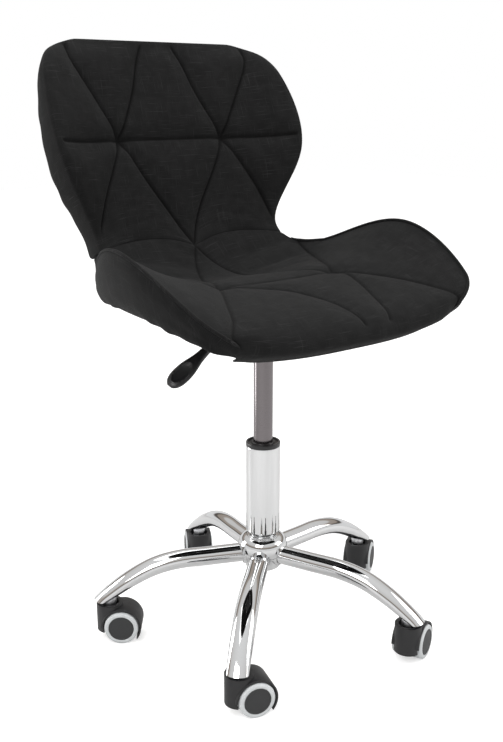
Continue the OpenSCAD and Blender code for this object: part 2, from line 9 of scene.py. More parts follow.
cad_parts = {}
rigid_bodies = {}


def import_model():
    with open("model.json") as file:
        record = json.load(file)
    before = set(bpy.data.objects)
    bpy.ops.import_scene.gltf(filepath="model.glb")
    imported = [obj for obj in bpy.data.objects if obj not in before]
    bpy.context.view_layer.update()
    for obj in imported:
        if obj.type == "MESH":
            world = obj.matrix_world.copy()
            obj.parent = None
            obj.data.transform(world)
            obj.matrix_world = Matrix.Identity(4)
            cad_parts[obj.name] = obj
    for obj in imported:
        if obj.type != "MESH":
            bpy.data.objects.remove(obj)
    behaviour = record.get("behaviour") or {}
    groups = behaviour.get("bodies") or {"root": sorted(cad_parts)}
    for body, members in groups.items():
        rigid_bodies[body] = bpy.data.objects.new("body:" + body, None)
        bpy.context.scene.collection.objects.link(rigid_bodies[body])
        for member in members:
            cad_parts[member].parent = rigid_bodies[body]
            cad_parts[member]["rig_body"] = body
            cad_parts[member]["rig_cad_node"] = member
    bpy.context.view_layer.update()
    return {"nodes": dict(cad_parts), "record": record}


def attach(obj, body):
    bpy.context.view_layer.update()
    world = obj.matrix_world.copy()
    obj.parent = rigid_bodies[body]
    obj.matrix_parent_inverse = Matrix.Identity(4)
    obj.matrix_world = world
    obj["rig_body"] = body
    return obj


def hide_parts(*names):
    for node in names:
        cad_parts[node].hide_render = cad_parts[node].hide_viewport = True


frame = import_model()
record = frame["record"]

MM = 0.001

# ---- camera
# The viewer stands at the sitter's front right, a little above the seat.
VIEW_TURN = math.radians(38.7)
VIEW_DIP = 0.2705
SENSOR = 36
LENS = 47.97


def make_camera():
    data = bpy.data.cameras.new("studio_camera")
    data.sensor_fit = "AUTO"
    data.sensor_width = SENSOR
    data.lens = LENS
    data.clip_end = 100
    camera = bpy.data.objects.new("studio_camera", data)
    camera.location = (-0.8630, -1.0502, 0.7781)
    camera.rotation_euler = (math.pi / 2 - VIEW_DIP, 0, -VIEW_TURN)
    bpy.context.scene.collection.objects.link(camera)
    bpy.context.scene.camera = camera


make_camera()


# ---- node helpers
def put(tree, kind, **values):
    """Adds a node; keyword names are node settings."""
    node = tree.nodes.new(kind)
    for key, value in values.items():
        setattr(node, key, value)
    return node


def plug(tree, sockets, sources):
    """Links or sets each socket, whichever its source asks for."""
    for socket, source in zip(sockets, sources):
        if isinstance(source, bpy.types.NodeSocket):
            tree.links.new(source, socket)
        else:
            socket.default_value = source


def calc(tree, operation, *sources):
    """Result of a math node."""
    node = put(tree, "ShaderNodeMath", operation=operation)
    plug(tree, node.inputs, sources)
    return node.outputs[0]


def noise(tree, vector, scale, detail=3.0, roughness=0.55):
    node = put(tree, "ShaderNodeTexNoise")
    tree.links.new(vector, node.inputs["Vector"])
    node.inputs["Scale"].default_value = scale
    node.inputs["Detail"].default_value = detail
    node.inputs["Roughness"].default_value = roughness
    return node.outputs["Fac"]


def ramp(tree, value, low, high, to_low=0.0, to_high=1.0):
    """Smooth step of a value from low to high."""
    node = put(tree, "ShaderNodeMapRange", interpolation_type="SMOOTHSTEP")
    plug(tree, node.inputs, (value, low, high, to_low, to_high))
    return node.outputs[0]


def stretch(tree, vector, scale):
    node = put(tree, "ShaderNodeMapping")
    tree.links.new(vector, node.inputs["Vector"])
    node.inputs["Scale"].default_value = scale
    return node.outputs[0]


def blend_colour(tree, share, first, second):
    node = put(tree, "ShaderNodeMix", data_type="RGBA")
    plug(tree, (node.inputs[0], node.inputs[6], node.inputs[7]), (share, first, second))
    return node.outputs[2]


def new_group(name, inputs, outputs):
    """Starts a shader node group and returns its tree, its inputs and its output node."""
    tree = bpy.data.node_groups.new(name, "ShaderNodeTree")
    for label, kind, value in inputs:
        socket = tree.interface.new_socket(name=label, in_out="INPUT", socket_type=kind)
        if value is not None:
            socket.default_value = value
    for label, kind in outputs:
        tree.interface.new_socket(name=label, in_out="OUTPUT", socket_type=kind)
    return tree, put(tree, "NodeGroupInput").outputs, put(tree, "NodeGroupOutput").inputs


# ---- shared effects
def group_weave():
    """Plain weave of round threads with thicker slubs running both ways."""
    tree, given, out = new_group(
        "linen_weave",
        [("Vector", "NodeSocketVector", None), ("Threads", "NodeSocketFloat", 1100.0),
         ("Slub Length", "NodeSocketFloat", 22.0)],
        [("Height", "NodeSocketFloat"), ("Slub", "NodeSocketFloat"), ("Tone", "NodeSocketFloat")],
    )
    split = put(tree, "ShaderNodeSeparateXYZ")
    tree.links.new(given["Vector"], split.inputs[0])
    across = calc(tree, "MULTIPLY", calc(tree, "MULTIPLY", split.outputs[0], given["Threads"]), math.pi)
    along = calc(tree, "MULTIPLY", calc(tree, "MULTIPLY", split.outputs[1], given["Threads"]), math.pi)
    over = calc(tree, "MULTIPLY_ADD", calc(tree, "COSINE", along), 0.35, 0.65)
    under = calc(tree, "MULTIPLY_ADD", calc(tree, "COSINE", across), -0.35, 0.65)
    warp = calc(tree, "MULTIPLY", calc(tree, "ABSOLUTE", calc(tree, "SINE", across)), over)
    weft = calc(tree, "MULTIPLY", calc(tree, "ABSOLUTE", calc(tree, "SINE", along)), under)
    threads = calc(tree, "MAXIMUM", warp, weft)

    def slubs(long_axis):
        scale = [900.0, 900.0, 1.0]
        join = put(tree, "ShaderNodeCombineXYZ")
        for axis in range(2):
            rate = given["Slub Length"] if axis == long_axis else scale[axis]
            tree.links.new(calc(tree, "MULTIPLY", split.outputs[axis], rate), join.inputs[axis])
        return ramp(tree, noise(tree, join.outputs[0], 1.0, 2.0), 0.60, 0.74)

    slub = calc(tree, "MAXIMUM", slubs(0), calc(tree, "MULTIPLY", slubs(1), 0.7))
    tree.links.new(calc(tree, "MULTIPLY_ADD", slub, 0.5, threads), out["Height"])
    tree.links.new(slub, out["Slub"])
    tree.links.new(noise(tree, given["Vector"], 60.0, 4.0), out["Tone"])
    return tree


def group_wear():
    """Cloudy change of tone and finish, with fine scratches, for hard surfaces."""
    tree, given, out = new_group(
        "handling_wear",
        [("Vector", "NodeSocketVector", None), ("Cloud Scale", "NodeSocketFloat", 30.0),
         ("Scratch Scale", "NodeSocketFloat", 260.0)],
        [("Cloud", "NodeSocketFloat"), ("Scratch", "NodeSocketFloat")],
    )
    node = put(tree, "ShaderNodeTexNoise")
    tree.links.new(given["Vector"], node.inputs["Vector"])
    tree.links.new(given["Cloud Scale"], node.inputs["Scale"])
    node.inputs["Detail"].default_value = 5.0
    tree.links.new(ramp(tree, node.outputs["Fac"], 0.3, 0.7), out["Cloud"])
    thin = put(tree, "ShaderNodeTexNoise")
    tree.links.new(stretch(tree, given["Vector"], (1.0, 1.0, 0.06)), thin.inputs["Vector"])
    tree.links.new(given["Scratch Scale"], thin.inputs["Scale"])
    thin.inputs["Detail"].default_value = 2.0
    tree.links.new(ramp(tree, thin.outputs["Fac"], 0.62, 0.72), out["Scratch"])
    return tree


def group_grain():
    """Fine spark-eroded grain of moulded plastic and rubber."""
    tree, given, out = new_group(
        "moulded_grain",
        [("Vector", "NodeSocketVector", None), ("Scale", "NodeSocketFloat", 1800.0)],
        [("Height", "NodeSocketFloat"), ("Cloud", "NodeSocketFloat")],
    )
    fine = put(tree, "ShaderNodeTexVoronoi")
    tree.links.new(given["Vector"], fine.inputs["Vector"])
    tree.links.new(given["Scale"], fine.inputs["Scale"])
    tree.links.new(fine.outputs["Distance"], out["Height"])
    tree.links.new(ramp(tree, noise(tree, given["Vector"], 45.0, 4.0), 0.3, 0.7), out["Cloud"])
    return tree


WEAVE = group_weave()
WEAR = group_wear()
GRAIN = group_grain()


# ---- materials
class Finish:
    """A material under construction: its tree, its shader and its place on the surface."""

    def __init__(self, name, place="Object", colour=None, **sockets):
        self.material = bpy.data.materials.new(name)
        self.material.use_nodes = True
        self.tree = self.material.node_tree
        self.shader = self.tree.nodes["Principled BSDF"]
        self.place = put(self.tree, "ShaderNodeTexCoord").outputs[place]
        if colour is not None:
            self.set("Base Color", (*colour, 1.0))
        for label, value in sockets.items():
            self.set(label.replace("_", " "), value)

    def set(self, label, value):
        plug(self.tree, [self.shader.inputs[label]], [value])

    def use(self, group, **values):
        node = put(self.tree, "ShaderNodeGroup", node_tree=group)
        self.tree.links.new(self.place, node.inputs["Vector"])
        for label, value in values.items():
            node.inputs[label.replace("_", " ")].default_value = value
        return node.outputs

    def bump(self, height, depth, strength=1.0):
        node = put(self.tree, "ShaderNodeBump")
        node.inputs["Strength"].default_value = strength
        node.inputs["Distance"].default_value = depth
        self.tree.links.new(height, node.inputs["Height"])
        self.set("Normal", node.outputs[0])


def cloth(name, dark, light, threads, depth, sheen, place="UV"):
    """Woven cloth, with painted shade where the piece's painted crease shade attribute marks a seam or a tuft
    pit.
    """
    made = Finish(name, place=place, Roughness=0.92, Sheen_Weight=sheen, Sheen_Roughness=0.45)
    made.set("Specular IOR Level", 0.12)
    weave = made.use(WEAVE, Threads=threads)
    mixed = blend_colour(made.tree, ramp(made.tree, weave["Tone"], 0.35, 0.65), (*dark, 1), (*light, 1))
    bright = tuple(min(1.0, c * 2.6) for c in light)
    share = calc(made.tree, "MULTIPLY", weave["Slub"], 0.8)
    slubbed = blend_colour(made.tree, share, mixed, (*bright, 1))
    # painted shade: the low hollows between threads take a darker copy of the cloth colour
    thread_gap_shade = tuple(c * 0.55 for c in dark)
    thread_gap_shade_share = ramp(made.tree, weave["Height"], 0.1, 0.6)
    woven = blend_colour(made.tree, thread_gap_shade_share, (*thread_gap_shade, 1), slubbed)
    # painted shade: the crease mask darkens the cloth towards black along sewn seams and in tuft pits
    painted_crease_shade = put(made.tree, "ShaderNodeAttribute", attribute_name="painted_crease_shade").outputs["Fac"]
    shade = calc(made.tree, "MULTIPLY", painted_crease_shade, 0.8)
    made.set("Base Color", blend_colour(made.tree, shade, woven, (0, 0, 0, 1)))
    made.bump(weave["Height"], depth, 0.7)
    return made.material


def metal(name, colour, smooth_rough, cloudy_rough, cloud=30.0, scratch=0.08):
    made = Finish(name, colour=colour, Metallic=1.0)
    wear = made.use(WEAR, Cloud_Scale=cloud)
    base = ramp(made.tree, wear["Cloud"], 0.0, 1.0, smooth_rough, cloudy_rough)
    made.set("Roughness", calc(made.tree, "MULTIPLY_ADD", wear["Scratch"], scratch, base))
    made.bump(wear["Cloud"], 0.00002, 0.3)
    return made.material


def plastic(name, dark, light, rough, grain_scale, grain_depth, coat=0.0):
    made = Finish(name, Coat_Weight=coat, Coat_Roughness=0.12)
    grain = made.use(GRAIN, Scale=grain_scale)
    made.set("Base Color", blend_colour(made.tree, grain["Cloud"], (*dark, 1), (*light, 1)))
    made.set("Roughness", ramp(made.tree, grain["Cloud"], 0.0, 1.0, rough, rough + 0.1))
    made.bump(grain["Height"], grain_depth, 0.5)
    return made.material


def brushed(name, colour, rough):
    """Steel with fine lines that run round the piece."""
    made = Finish(name, colour=colour, Metallic=1.0)
    lines = noise(made.tree, stretch(made.tree, made.place, (20.0, 20.0, 2600.0)), 1.0, 3.0)
    wear = made.use(WEAR, Cloud_Scale=24.0)
    base = ramp(made.tree, lines, 0.3, 0.7, rough - 0.06, rough + 0.08)
    made.set("Roughness", calc(made.tree, "MULTIPLY_ADD", wear["Cloud"], 0.05, base))
    made.bump(lines, 0.00003, 0.4)
    return made.material


def plywood(name):
    """Pale veneer with darker plies on the edge."""
    made = Finish(name, Roughness=0.6)
    plies = calc(made.tree, "SINE", noise(made.tree, stretch(made.tree, made.place, (1.0, 1.0, 6.0)), 60.0))
    share = ramp(made.tree, plies, 0.3, 0.7)
    made.set("Base Color", blend_colour(made.tree, share, (0.35, 0.22, 0.11, 1), (0.56, 0.40, 0.22, 1)))
    made.bump(plies, 0.0001, 0.4)
    return made.material


MATERIALS = {
    "black_fabric": cloth(
        "charcoal_linen", (0.0075, 0.0076, 0.0077), (0.0105, 0.0106, 0.0107), 1100.0, 0.00012, 0.03
    ),
    "piping": cloth(
        "piping_linen", (0.0085, 0.0086, 0.0087), (0.0115, 0.0116, 0.0117), 1100.0, 0.00012, 0.03, "Object"
    ),
    "dust_cloth": cloth("under_cloth", (0.004, 0.004, 0.004), (0.006, 0.006, 0.006), 900.0, 0.0001, 0.01),
    "chrome": metal("chrome_plate", (0.67, 0.675, 0.68), 0.035, 0.07, 18.0, 0.05),
    "zinc_steel": metal("zinc_plated_steel", (0.68, 0.69, 0.71), 0.22, 0.34, 70.0),
    "bearing_steel": metal("bearing_steel", (0.60, 0.61, 0.63), 0.12, 0.2, 60.0),
    "brushed_steel": brushed("brushed_gas_tube", (0.185, 0.17, 0.175), 0.17),
    "black_plastic": plastic(
        "bush_plastic", (0.010, 0.010, 0.011), (0.016, 0.016, 0.017), 0.32, 1500.0, 0.00003
    ),
    "black_rubber": plastic(
        "buffer_rubber", (0.011, 0.011, 0.011), (0.018, 0.018, 0.018), 0.75, 1200.0, 0.00006
    ),
    "black_paint": plastic("powder_coat", (0.010, 0.010, 0.010), (0.015, 0.015, 0.015), 0.42, 900.0, 0.00008),
    "plywood": plywood("moulded_plywood"),
    "lever_plastic": plastic(
        "lever_plastic", (0.014, 0.014, 0.015), (0.020, 0.020, 0.021), 0.34, 1500.0, 0.00003
    ),
    "hood_plastic": plastic(
        "hood_plastic", (0.007, 0.007, 0.008), (0.010, 0.010, 0.011), 0.45, 1300.0, 0.00005
    ),
    "cap_plastic": plastic(
        "wheel_cap_plastic", (0.018, 0.019, 0.020), (0.024, 0.025, 0.026), 0.5, 1300.0, 0.00005
    ),
    "grey_tyre": plastic("grey_tyre", (0.50, 0.52, 0.53), (0.58, 0.60, 0.61), 0.5, 1000.0, 0.00005),
}


# ---- seat surface
# The CAD surface's stations, in millimetres, with a lower front lip and a slightly wider and
# higher top: 0 is the front lower edge, 3 the middle of the seat, 5 the bend, 8 the top of the back.
FACE_Y = [-186, -199, -164, -24, 101, 169, 206, 238, 255]
FACE_Z = [471, 491, 518, 540, 528, 582, 700, 809, 859]
UNDER_Y = [-175, -182, -158, -40, 124, 216, 257, 271, 262]
UNDER_Z = [469, 477, 482, 470, 486, 566, 671, 790, 857]
HALF_W = [180, 186, 235, 252, 203, 162, 214, 207, 168]
WING_LIFT = [6, 8, 24, 63, 38, 11, 50, 33, 0]
FRONT_BOW = [30, 13, 5, 0, 0, 0, 0, 0, 0]
WING_POWER = 3
LAST_U = 8
SPLIT_U = 4.78
SHELL_U = (2.0, 7.2)
EDGE_ROLL = 22
COVER_T = 6.5
RECESS_UP = 16.7
# How far the seam between seat and back rises from its middle to the side, in stations
JOINT_RISE = [0, 0.14, 0.17, 0.13, 0.0]


def smooth(values, u):
    """Smooth curve through values at place u, from 0 to the last one."""
    u = np.asarray(u, float)
    v = np.asarray(values, float)
    v = np.concatenate([[2 * v[0] - v[1]], v, [2 * v[-1] - v[-2]]])
    i = np.clip(np.floor(u).astype(int), 0, len(values) - 2)
    f = u - i
    a, b, c, d = v[i], v[i + 1], v[i + 2], v[i + 3]
    return 0.5 * (2 * b + (c - a) * f + (2 * a - 5 * b + 4 * c - d) * f**2 + (3 * b - a - 3 * c + d) * f**3)


def half_width(u):
    """Half width at station u, less what the rounded corners at either end take off."""
    u = np.asarray(u, float)
    q = np.where(u < 0.5, 1 - u / 0.5, np.where(u > LAST_U - 0.5, 1 - (LAST_U - u) / 0.5, 0))
    radius = np.where(u < LAST_U / 2, 30, 42)
    return smooth(HALF_W, u) - radius * (1 - np.sqrt(np.clip(1 - q * q, 0, 1)))


def rise(u):
    """Direction in which the wings rise at station u, as (y, z)."""
    v = np.clip(u, 2, None)
    dy = smooth(FACE_Y, v + 0.002) - smooth(FACE_Y, v - 0.002)
    dz = smooth(FACE_Z, v + 0.002) - smooth(FACE_Z, v - 0.002)
    length = np.hypot(dy, dz)
    return -dz / length, dy / length


def thickness(u):
    return np.hypot(smooth(FACE_Y, u) - smooth(UNDER_Y, u), smooth(FACE_Z, u) - smooth(UNDER_Z, u))


def body_point(u, x, up):
    """Points of the upholstered body, in millimetres: station, distance from the middle, height."""
    u, x, up = np.broadcast_arrays(*(np.asarray(v, float) for v in (u, x, up)))
    share = up / thickness(u)
    side = np.abs(x / smooth(HALF_W, u)) ** WING_POWER
    lift = smooth(WING_LIFT, u) * side
    bow = smooth(FRONT_BOW, u) * side
    ny, nz = rise(u)
    y = smooth(UNDER_Y, u) * (1 - share) + smooth(FACE_Y, u) * share + ny * lift + bow
    z = smooth(UNDER_Z, u) * (1 - share) + smooth(FACE_Z, u) * share + nz * lift
    return np.stack([x, y, z], axis=-1)


U_FINE = np.linspace(0, LAST_U, 1601)
FACE_LINE = np.stack([smooth(FACE_Y, U_FINE), smooth(FACE_Z, U_FINE)], axis=1)
ARC_FINE = np.concatenate([[0], np.cumsum(np.linalg.norm(np.diff(FACE_LINE, axis=0), axis=1))])


def arc_at(u):
    return np.interp(u, U_FINE, ARC_FINE)


def station_at(arc):
    return np.interp(arc, ARC_FINE, U_FINE)


def smoothstep(a, b, x):
    q = np.clip((np.asarray(x, float) - a) / (b - a), 0, 1)
    return q * q * (3 - 2 * q)


def joint_shift(u, t):
    """Moves stations near the seam between seat and back, so that the seam arches to each side."""
    near = 1 - smoothstep(0, 1.1, np.abs(u - SPLIT_U))
    return near * smooth(JOINT_RISE, np.clip(np.abs(t), 0, 1) * 4)


# ---- seams
# Each seam is a list of (station, side place) points; side is -1 or 1.
def both_sides(points):
    return [[(u, side * t) for u, t in points] for side in (-1, 1)]


SEAT_SEAMS = (
    both_sides([(4.77, 0), (3.85, 0.19), (3.4, 0.30), (2.96, 0.40)])
    + both_sides([(2.96, 0.40), (2.75, 0.47), (2.43, 0.60), (2.09, 0.73), (1.58, 0.91), (1.1, 0.98)])
    + both_sides([(2.96, 0.40), (3.4, 0.58), (3.80, 0.767), (4.41, 0.965)])
    + [
        [(2.96, -0.40), (2.97, -0.2), (2.97, 0.0), (2.97, 0.2), (2.96, 0.40)],
        [(2.96, -0.40), (2.84, -0.24), (2.67, -0.09), (2.48, -0.02), (2.25, 0.03), (1.86, 0.05), (1.5, 0.06)],
        [(2.96, 0.40), (2.80, 0.418), (2.54, 0.378), (2.22, 0.317), (1.8, 0.28), (1.5, 0.27)],
    ]
)
SEAT_TUFTS = [(2.96, -0.40), (2.96, 0.40)]
BACK_SEAMS = (
    both_sides([(6.17, 0.425), (6.7, 0.60), (7.25, 0.77), (7.8, 0.89)])
    + both_sides([(6.17, 0.425), (6.74, 0.27), (7.3, 0.205), (7.85, 0.16)])
    + both_sides([(6.17, 0.425), (6.13, 0.7), (6.10, 0.97)])
    + both_sides([(6.17, 0.425), (5.67, 0.634), (5.05, 0.97)])
    + both_sides([(6.17, 0.425), (5.54, 0.26), (4.80, 0)])
    + [[(6.17, -0.425), (6.17, 0.0), (6.17, 0.425)]]
)
BACK_TUFTS = [(6.17, -0.425), (6.17, 0.425)]


def seam_line(points, step=0.6):
    """Points every step millimetres along a seam, as (distance from the middle, arc length)."""
    p = np.array([(t * smooth(HALF_W, u), arc_at(u)) for u, t in points], float)
    n = len(p) - 1
    if n == 1:
        q = np.linspace(0, 1, 200)
        line = np.stack([p[0, 0] + (p[1, 0] - p[0, 0]) * q, p[0, 1] + (p[1, 1] - p[0, 1]) * q], axis=1)
    else:
        q = np.linspace(0, n, 120 * n)
        line = np.stack([smooth(p[:, 0], q), smooth(p[:, 1], q)], axis=1)
    along = np.concatenate([[0], np.cumsum(np.linalg.norm(np.diff(line, axis=0), axis=1))])
    s = np.arange(0, along[-1], step)
    return np.stack([np.interp(s, along, line[:, 0]), np.interp(s, along, line[:, 1])], axis=1)


def nearest(points, places):
    """Distance and index of the nearest of some flat points, for each flat place."""
    tree = kdtree.KDTree(len(points))
    for i, p in enumerate(points):
        tree.insert((p[0], p[1], 0), i)
    tree.balance()
    found = [tree.find((p[0], p[1], 0)) for p in places]
    return np.array([f[2] for f in found]), np.array([f[1] for f in found])


# ---- padded pieces
CELL = 4.3
BLOWN_FRAMES = 20
PILLOW_REACH = 16.0
RIM_REACH = 34
SEAM_RIM_REACH = 14
GROOVE_W = 2.6
CREASE_SHADE_W = 2.0
TUFT_SHADE_R = 9


def corners_of(mesh):
    """Vertex index of each face corner."""
    corners = np.zeros(len(mesh.loops), int)
    mesh.loops.foreach_get("vertex_index", corners)
    return corners


def sewn_piece(name, points, faces, flat):
    """A new piece with a cloth map: points in metres, flat places in millimetres."""
    mesh = bpy.data.meshes.new(name)
    mesh.from_pydata(points, [], faces)
    mesh.validate()
    piece = bpy.data.objects.new(name, mesh)
    bpy.context.scene.collection.objects.link(piece)
    layer = mesh.uv_layers.new(name="cloth")
    layer.data.foreach_set("uv", (flat[corners_of(mesh)] * MM).astype(np.float32).ravel())
    outward(piece)
    return piece


def end_stations(first, last, r_first, r_last):
    """Arc places from one end of a pad to the other, and how far each is set in at its rounded ends."""
    turns = np.radians([0, 22, 45, 68, 90])
    head = [(first + r_first * (1 - math.cos(a)), r_first * (1 - math.sin(a))) for a in turns]
    tail = [(last - r_last * (1 - math.cos(a)), r_last * (1 - math.sin(a))) for a in turns[::-1]]
    count = max(2, int((tail[0][0] - head[-1][0]) / CELL))
    middle = [(s, 0.0) for s in np.linspace(head[-1][0], tail[0][0], count + 1)[1:-1]]
    return np.array(head + middle + tail)


def build_pad(name, u_first, u_last, columns, r_top, r_low, r_first, r_last, seams, start_low, side_in):
    """Closed grid in the shape of a pad. Returns the object and, for each vertex, its flat place and part."""
    stations = end_stations(arc_at(u_first), arc_at(u_last), r_first, r_last)
    rows = len(stations)
    corner = 4
    side_count = 7
    lines = np.concatenate([seam_line(s) for s in seams])
    turns = np.linspace(0, math.pi / 2, corner + 2)[1:-1]
    loops, flats, kinds = [], [], []
    for arc, inset in stations:
        u = float(station_at(arc))
        width = float(half_width(u)) - side_in - inset
        thick = float(thickness(u)) - start_low
        top_r = min(r_top, 0.4 * (thick - 2 * inset) + 0.1)
        low_r = min(r_low, 0.4 * (thick - 2 * inset) + 0.1)
        flat_x = np.linspace(-(width - top_r), width - top_r, columns)
        right_x = width - top_r + top_r * np.sin(turns)
        right_up = thick - inset - top_r * (1 - np.cos(turns))
        top_x = np.concatenate([-right_x[::-1], flat_x, right_x])
        top_up = np.concatenate([right_up[::-1], np.full(columns, thick - inset), right_up])
        s = np.linspace(0, 1, side_count)
        side_up = (thick - inset - top_r) * (1 - s) + (inset + low_r) * s
        bulge = (3.0 if u < SPLIT_U else 1.0) * np.sin(math.pi * s)
        side_x = width + bulge
        low_x = np.concatenate([
            -(width - low_r + low_r * np.sin(turns))[::-1],
            np.linspace(-(width - low_r), width - low_r, columns),
            width - low_r + low_r * np.sin(turns),
        ])
        low_up = np.concatenate([
            (inset + low_r * (1 - np.cos(turns)))[::-1], np.full(columns, inset),
            inset + low_r * (1 - np.cos(turns)),
        ])
        gather = 1.1 * (1 + math.sin(arc / 6.5)) * (1 + 0.5 * math.sin(arc / 19))
        low_up = low_up - gather * (np.abs(low_x) > width - low_r) * (np.abs(low_x) < width - 0.15 * low_r)
        inside = float(smoothstep(SHELL_U[0] - 0.06, SHELL_U[0] + 0.02, u))
        inside *= 1 - float(smoothstep(SHELL_U[1] - 0.02, SHELL_U[1] + 0.06, u))
        edge = half_width(u) - EDGE_ROLL
        low_up += (RECESS_UP + 1 - inset) * inside * (1 - smoothstep(edge, edge + 4, np.abs(low_x)))
        x = np.concatenate([top_x, side_x, low_x[::-1], -side_x[::-1]])
        up = np.concatenate([top_up, side_up, low_up[::-1], side_up[::-1]])
        m = len(top_x)
        around = np.concatenate([[0], np.cumsum(np.hypot(np.diff(x), np.diff(up)))])
        middle = (around[m // 2 - 1] + around[m // 2]) / 2
        flat = around - middle
        half = (around[-1] + np.hypot(x[0] - x[-1], up[0] - up[-1])) / 2
        flat = np.where(flat > half, flat - 2 * half, flat)
        flat[:m] = top_x
        loops.append((u, x, up))
        flats.append(np.stack([flat, np.full(len(x), arc)], axis=1))
        kind = np.zeros(len(x), int)
        kind[corner:corner + columns] = 1
        kinds.append(kind)
    count = len(loops[0][1])
    m = columns + 2 * corner
    flats = np.array(flats)
    kinds = np.array(kinds)
    # grid points of the face that lie beside a seam are moved onto it
    face = [(i, j) for i in range(4, rows - 4) for j in range(corner + 1, corner + columns - 1)]
    distance, index = nearest(lines, [flats[i, j] for i, j in face])
    for (i, j), d, k in zip(face, distance, index):
        if d < 0.5 * CELL * 0.92:
            flats[i, j] = lines[k]
            kinds[i, j] = 2
    points = np.zeros((rows, count, 3))
    for i in range(rows):
        u, x, up = loops[i]
        us = np.full(count, u)
        xs = x.copy()
        ups = up.copy()
        for j in range(corner, corner + columns):
            if kinds[i, j] == 2:
                us[j] = station_at(flats[i, j, 1])
                xs[j] = flats[i, j, 0]
                ups[j] = float(thickness(us[j])) - start_low
        us = us + joint_shift(us, xs / half_width(us))
        points[i] = body_point(us, xs, ups)
    mesh_points = [tuple(p * MM) for p in points.reshape(-1, 3)]
    flat_all = [tuple(f) for f in flats.reshape(-1, 2)]
    kind_all = list(kinds.reshape(-1))
    faces = []
    for i in range(rows - 1):
        for j in range(count):
            k = (j + 1) % count
            faces.append((i * count + j, i * count + k, (i + 1) * count + k, (i + 1) * count + j))

    def close_end(row, flip):
        """Fills an end with a grid between the top edge and the lower edge."""
        base = row * count
        top = [base + j for j in range(m)]
        right = [base + m + k for k in range(side_count)]
        low = [base + m + side_count + (m - 1 - j) for j in range(m)]
        left = [base + count - 1 - k for k in range(side_count)]
        grid = [top]
        for k in range(side_count):
            q = (k + 1) / (side_count + 1)
            line = [left[k]]
            for j in range(1, m - 1):
                a, b = Vector(mesh_points[top[j]]), Vector(mesh_points[low[j]])
                mesh_points.append(tuple(a.lerp(b, q)))
                fa, fb = flat_all[top[j]], flat_all[top[j]]
                flat_all.append((fa[0], fb[1] + (1 if flip else -1) * q * 40))
                kind_all.append(0)
                line.append(len(mesh_points) - 1)
            line.append(right[k])
            grid.append(line)
        grid.append(low)
        for k in range(len(grid) - 1):
            for j in range(m - 1):
                quad = (grid[k][j], grid[k][j + 1], grid[k + 1][j + 1], grid[k + 1][j])
                faces.append(quad if flip else quad[::-1])

    close_end(0, False)
    close_end(rows - 1, True)
    flat_all = np.array(flat_all)
    piece = sewn_piece(name, mesh_points, faces, flat_all)
    return piece, flat_all, np.array(kind_all), lines


def outward(piece):
    """Turns every face of a closed piece outwards."""
    bm = bmesh.new()
    bm.from_mesh(piece.data)
    bmesh.ops.recalc_face_normals(bm, faces=bm.faces)
    bm.to_mesh(piece.data)
    bm.free()


def places_of(mesh):
    co = np.zeros(len(mesh.vertices) * 3, np.float32)
    mesh.vertices.foreach_get("co", co)
    return co.reshape(-1, 3).astype(float)


def move_to(mesh, co):
    mesh.vertices.foreach_set("co", co.astype(np.float32).ravel())
    mesh.update()


def normals_of(mesh):
    n = np.zeros(len(mesh.vertices) * 3, np.float32)
    mesh.vertex_normals.foreach_get("vector", n)
    return n.reshape(-1, 3).astype(float)


def only(piece):
    """Selects one object and makes it active."""
    for other in bpy.context.view_layer.objects:
        other.select_set(False)
    piece.select_set(True)
    bpy.context.view_layer.objects.active = piece


def apply_modifier(piece, kind, **values):
    modifier = piece.modifiers.new(kind.lower(), kind)
    for key, value in values.items():
        setattr(modifier, key, value)
    only(piece)
    bpy.ops.object.modifier_apply(modifier=modifier.name)


def inflate(piece, loose, cap):
    """Blows the pad up as cloth. Points that aren't loose are held, and no point moves past the cap."""
    group = piece.vertex_groups.new(name="held")
    for weight in np.unique(np.round(loose, 1)):
        chosen = np.nonzero(np.isclose(np.round(loose, 1), weight))[0]
        group.add([int(i) for i in chosen], float(1 - weight), "REPLACE")
    start = places_of(piece.data)
    cloth_mod = piece.modifiers.new("cloth", "CLOTH")
    settings = cloth_mod.settings
    settings.quality = 6
    settings.mass = 0.3
    settings.tension_stiffness = 25
    settings.compression_stiffness = 12
    settings.shear_stiffness = 10
    settings.bending_stiffness = 1.2
    settings.vertex_group_mass = "held"
    settings.use_pressure = True
    settings.uniform_pressure_force = 4
    settings.effector_weights.gravity = 0
    cloth_mod.point_cache.frame_start = 1
    cloth_mod.point_cache.frame_end = BLOWN_FRAMES
    scene = bpy.context.scene
    for step in range(1, BLOWN_FRAMES + 1):
        scene.frame_set(step)
    graph = bpy.context.evaluated_depsgraph_get()
    blown = places_of(piece.evaluated_get(graph).data)
    piece.modifiers.remove(cloth_mod)
    scene.frame_set(1)
    moved = blown - start
    size = np.linalg.norm(moved, axis=1, keepdims=True) + 1e-12
    limit = cap * MM
    move_to(piece.data, start + moved / size * limit * np.tanh(size / limit))


def flat_places(piece):
    """Each vertex's flat place in millimetres, read back from the cloth map."""
    mesh = piece.data
    uv = np.zeros(len(mesh.loops) * 2, np.float32)
    mesh.uv_layers["cloth"].data.foreach_get("uv", uv)
    flat = np.zeros((len(mesh.vertices), 2))
    flat[corners_of(mesh)] = uv.reshape(-1, 2) / MM
    return flat


def face_mask(piece):
    """1 where a vertex belongs to the upholstered face of a pad."""
    group = piece.vertex_groups["face"].index
    mask = np.zeros(len(piece.data.vertices))
    for i, vertex in enumerate(piece.data.vertices):
        for member in vertex.groups:
            if member.group == group:
                mask[i] = member.weight
    return mask


